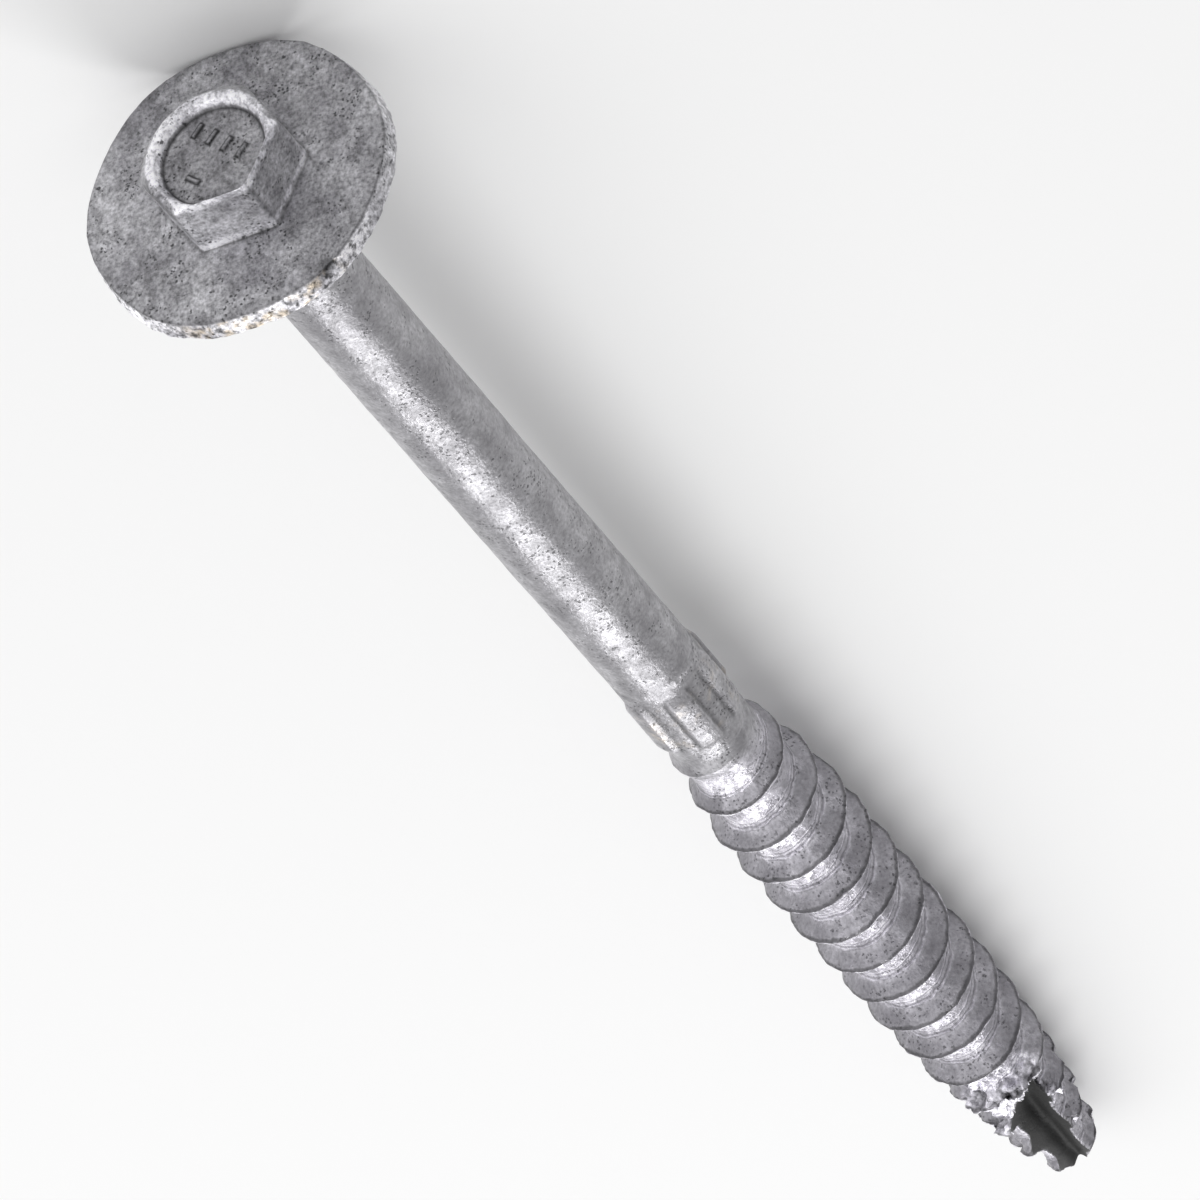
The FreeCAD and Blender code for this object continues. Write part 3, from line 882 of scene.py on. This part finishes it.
def crusted_zinc(tree, finish, where, middle, colour):
    """Bright crust with ochre specks on the washer's edge, over a colour."""
    clumps = noise_at(tree, (-400, 600), where, 2100.0, 3.0)
    bright = ramp(tree, (-200, 600), clumps, [(0.34, 0.30), (0.44, 1.3), (0.58, 2.5)])
    crusted = mixed(tree, (0, 600), 1.0, colour, bright, "MULTIPLY")
    colour = mixed(tree, (200, 800), mark(tree, (0, 1100), "crust"), colour, crusted)
    ragged = ramp(tree, (0, 400), middle, [(0.46, 0.0), (0.60, 0.8)])
    stained = mixed(tree, (200, 400), 1.0, mark(tree, (0, 200), "stain"), ragged, "MULTIPLY")
    ochre = mixed(tree, (300, 1000), 1.0, finish.stain, bright, "MULTIPLY")
    return mixed(tree, (400, 800), stained, colour, ochre)


def zinc_gloss(tree, shader, middle, thread):
    """Uneven gloss, a little stronger on the thread and faint in the flute."""
    dull = ramp(tree, (800, 300), middle, [(0.35, 0.42), (0.65, 0.31)])
    smoother = mixed(tree, (1000, 300), 1.0, dull, (0.85, 0.85, 0.85), "MULTIPLY")
    rough = mixed(tree, (1200, 300), thread, dull, smoother)
    rough = mixed(tree, (1350, 300), mark(tree, (1200, 100), "flute"), rough, (0.6, 0.6, 0.6))
    tree.links.new(rough, shader.inputs["Roughness"])
    gloss = ramp(tree, (1350, 700), mark(tree, (1200, 700), "flute"), [(0.0, 0.5), (1.0, 0.1)])
    tree.links.new(gloss, shader.inputs["Specular IOR Level"])


def zinc_relief(tree, shader, reliefs):
    """Bumps laid over one another: height, strength, depth in metres, and whether
    it is sunk in."""
    below = None
    for k, (height, strength, depth, sunk) in enumerate(reliefs):
        bump = node(tree, "ShaderNodeBump", (1000 + 150 * k, -100 - 100 * k),
                    Strength=strength, Distance=depth)
        bump.invert = sunk
        tree.links.new(height, bump.inputs["Height"])
        if below:
            tree.links.new(below, bump.inputs["Normal"])
        below = bump.outputs["Normal"]
    tree.links.new(below, shader.inputs["Normal"])


def zinc_material(shape, finish):
    """Mottled grey zinc with fine grain, clustered pits and a bright crust."""
    material = bpy.data.materials.new("galvanised_zinc")
    material.use_nodes = True
    tree = material.node_tree
    tree.nodes.clear()
    where = tree.nodes.new("ShaderNodeTexCoord").outputs["Object"]

    cloudy = noise_at(tree, (-1600, 800), where, 230.0)
    middle = noise_at(tree, (-1600, 600), where, 900.0)
    grain = noise_at(tree, (-1600, 400), where, 3600.0, 3.0)
    dots = zinc_pits(tree, where)
    thread = mark(tree, (-1000, -1100), "thread")
    painted_bands = painted_thread_bands(tree, (-1600, 1200), where, middle, shape)
    colour = mottled_zinc(tree, finish, cloudy, middle, grain)
    colour = mixed(tree, (-300, 800), dots, colour, finish.speck)
    # Painted light and shade across the thread multiply its colour
    colour = mixed(tree, (-200, 800), thread, colour,
                   mixed(tree, (-300, 1000), 1.0, colour, painted_bands, "MULTIPLY"))
    colour = crusted_zinc(tree, finish, where, middle, colour)
    colour = mixed(tree, (600, 800), mark(tree, (400, 1100), "flute"), colour, finish.steel)
    # Tone, painted light and shade included, multiplies the colour
    colour = mixed(tree, (800, 800), 1.0, colour, mark(tree, (600, 1100), "tone_and_painted_light"), "MULTIPLY")

    shader = tree.nodes.new("ShaderNodeBsdfPrincipled")
    shader.location = (1500, 500)
    shader.inputs["Metallic"].default_value = 0.4
    tree.links.new(colour, shader.inputs["Base Color"])
    zinc_gloss(tree, shader, middle, thread)
    arcs = mixed(tree, (1100, -400), thread, (1.0, 1.0, 1.0), painted_bands)
    zinc_relief(tree, shader, [(middle, 0.5, 0.00010, False), (grain, 0.6, 0.00006, False),
                               (arcs, 0.7, 0.00018, False), (dots, 0.6, 0.00005, True)])
    output = tree.nodes.new("ShaderNodeOutputMaterial")
    output.location = (1800, 500)
    tree.links.new(shader.outputs["BSDF"], output.inputs["Surface"])
    return material


# Operators

class MakeScrew(bpy.types.Operator):
    """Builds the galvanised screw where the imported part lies"""
    bl_idname = "screw.make_body"
    bl_label = "Make the screw"

    def execute(self, context):
        finish = context.scene.screw_finish
        shape = Shape(context.scene.screw_sizes)
        rings, flute = screw_rings(shape)
        points, faces = skin(rings)
        mesh = bpy.data.meshes.new("zinc_coated_screw")
        mesh.from_pydata(points.tolist(), [], faces)
        mesh.update()
        normals = np.empty(len(points) * 3)
        mesh.vertices.foreach_get("normal", normals)
        coat = Coat(shape, points, flute, finish)
        placed = in_frame(shape, points + normals.reshape(-1, 3) * coat.out[:, None])
        placed[:, 2] = np.maximum(placed[:, 2], CAD_BOX[0][2])
        mesh.vertices.foreach_set("co", placed.ravel())
        for name, values in coat.marks().items():
            layer = mesh.attributes.new(name, "FLOAT", "POINT")
            layer.data.foreach_set("value", values)
        # Places on the screw's own axis, from which the thread's bands are worked out
        layer = mesh.attributes.new("own", "FLOAT_VECTOR", "POINT")
        layer.data.foreach_set("vector", points.ravel())
        mesh.polygons.foreach_set("use_smooth", [True] * len(mesh.polygons))
        mesh.update()
        mesh.validate()
        mesh.materials.append(zinc_material(shape, finish))
        screw = bpy.data.objects.new("screw_with_zinc", mesh)
        context.scene.collection.objects.link(screw)
        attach(screw, "root")
        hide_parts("screw")
        return {"FINISHED"}


class MakeStage(bpy.types.Operator):
    """Sets up the floor, the soft lamps and the camera"""
    bl_idname = "screw.make_stage"
    bl_label = "Make the stage"

    def execute(self, context):
        settings = context.scene.screw_stage
        self.make_floor(context, settings)
        self.make_lamps(context)
        self.make_camera(context, settings)
        context.scene.view_settings.view_transform = "Standard"
        return {"FINISHED"}

    def make_floor(self, context, settings):
        half = FLOOR_HALF
        mesh = bpy.data.meshes.new("floor")
        mesh.from_pydata([(-half, -half, 0), (half, -half, 0), (half, half, 0), (-half, half, 0)],
                         [], [(0, 1, 2, 3)])
        floor = bpy.data.objects.new("floor", mesh)
        material = bpy.data.materials.new("pale_floor")
        material.use_nodes = True
        shader = material.node_tree.nodes["Principled BSDF"]
        shader.inputs["Base Color"].default_value = (*settings.floor, 1)
        shader.inputs["Roughness"].default_value = 0.9
        shader.inputs["Specular IOR Level"].default_value = 0.0
        mesh.materials.append(material)
        context.scene.collection.objects.link(floor)

    def make_lamps(self, context):
        world = bpy.data.worlds.new("soft_room")
        world.use_nodes = True
        world.node_tree.nodes["Background"].inputs["Color"].default_value = (1, 1, 1, 1)
        world.node_tree.nodes["Background"].inputs["Strength"].default_value = ROOM_LIGHT
        context.scene.world = world
        for name, place, (wide, deep), watts in LAMPS:
            light = bpy.data.lights.new(name, "AREA")
            light.shape = "RECTANGLE"
            light.size, light.size_y = wide, deep
            light.energy = watts
            lamp = bpy.data.objects.new(name, light)
            lamp.location = place
            lamp.rotation_mode = "QUATERNION"
            lamp.rotation_quaternion = (-Vector(place)).to_track_quat("-Z", "Y")
            context.scene.collection.objects.link(lamp)

    def make_camera(self, context, settings):
        data = bpy.data.cameras.new("camera")
        data.lens = settings.lens
        data.sensor_width = 36.0
        data.clip_start, data.clip_end = 0.01, 10.0
        camera = bpy.data.objects.new("camera", data)
        camera.location = settings.camera_place
        camera.rotation_euler = settings.camera_turn
        context.scene.collection.objects.link(camera)
        context.scene.camera = camera


class ScrewPanel(bpy.types.Panel):
    """Lists the screw's settings and the steps that build it"""
    bl_idname = "VIEW3D_PT_screw"
    bl_label = "Structural screw"
    bl_space_type = "VIEW_3D"
    bl_region_type = "UI"
    bl_category = "Screw"

    def draw(self, context):
        for group in (context.scene.screw_sizes, context.scene.screw_finish,
                      context.scene.screw_stage):
            box = self.layout.box()
            for name in group.bl_rna.properties.keys():
                if name not in ("rna_type", "name"):
                    box.prop(group, name)
        self.layout.operator(MakeScrew.bl_idname)
        self.layout.operator(MakeStage.bl_idname)


CLASSES = (ScrewSizes, ZincFinish, StageSettings, MakeScrew, MakeStage, ScrewPanel)


def register():
    for cls in CLASSES:
        bpy.utils.register_class(cls)
    bpy.types.Scene.screw_sizes = bpy.props.PointerProperty(type=ScrewSizes)
    bpy.types.Scene.screw_finish = bpy.props.PointerProperty(type=ZincFinish)
    bpy.types.Scene.screw_stage = bpy.props.PointerProperty(type=StageSettings)


def unregister():
    del bpy.types.Scene.screw_stage
    del bpy.types.Scene.screw_finish
    del bpy.types.Scene.screw_sizes
    for cls in reversed(CLASSES):
        bpy.utils.unregister_class(cls)


def main():
    register()
    bpy.ops.screw.make_body()
    bpy.ops.screw.make_stage()


if __name__ == "__main__":
    main()
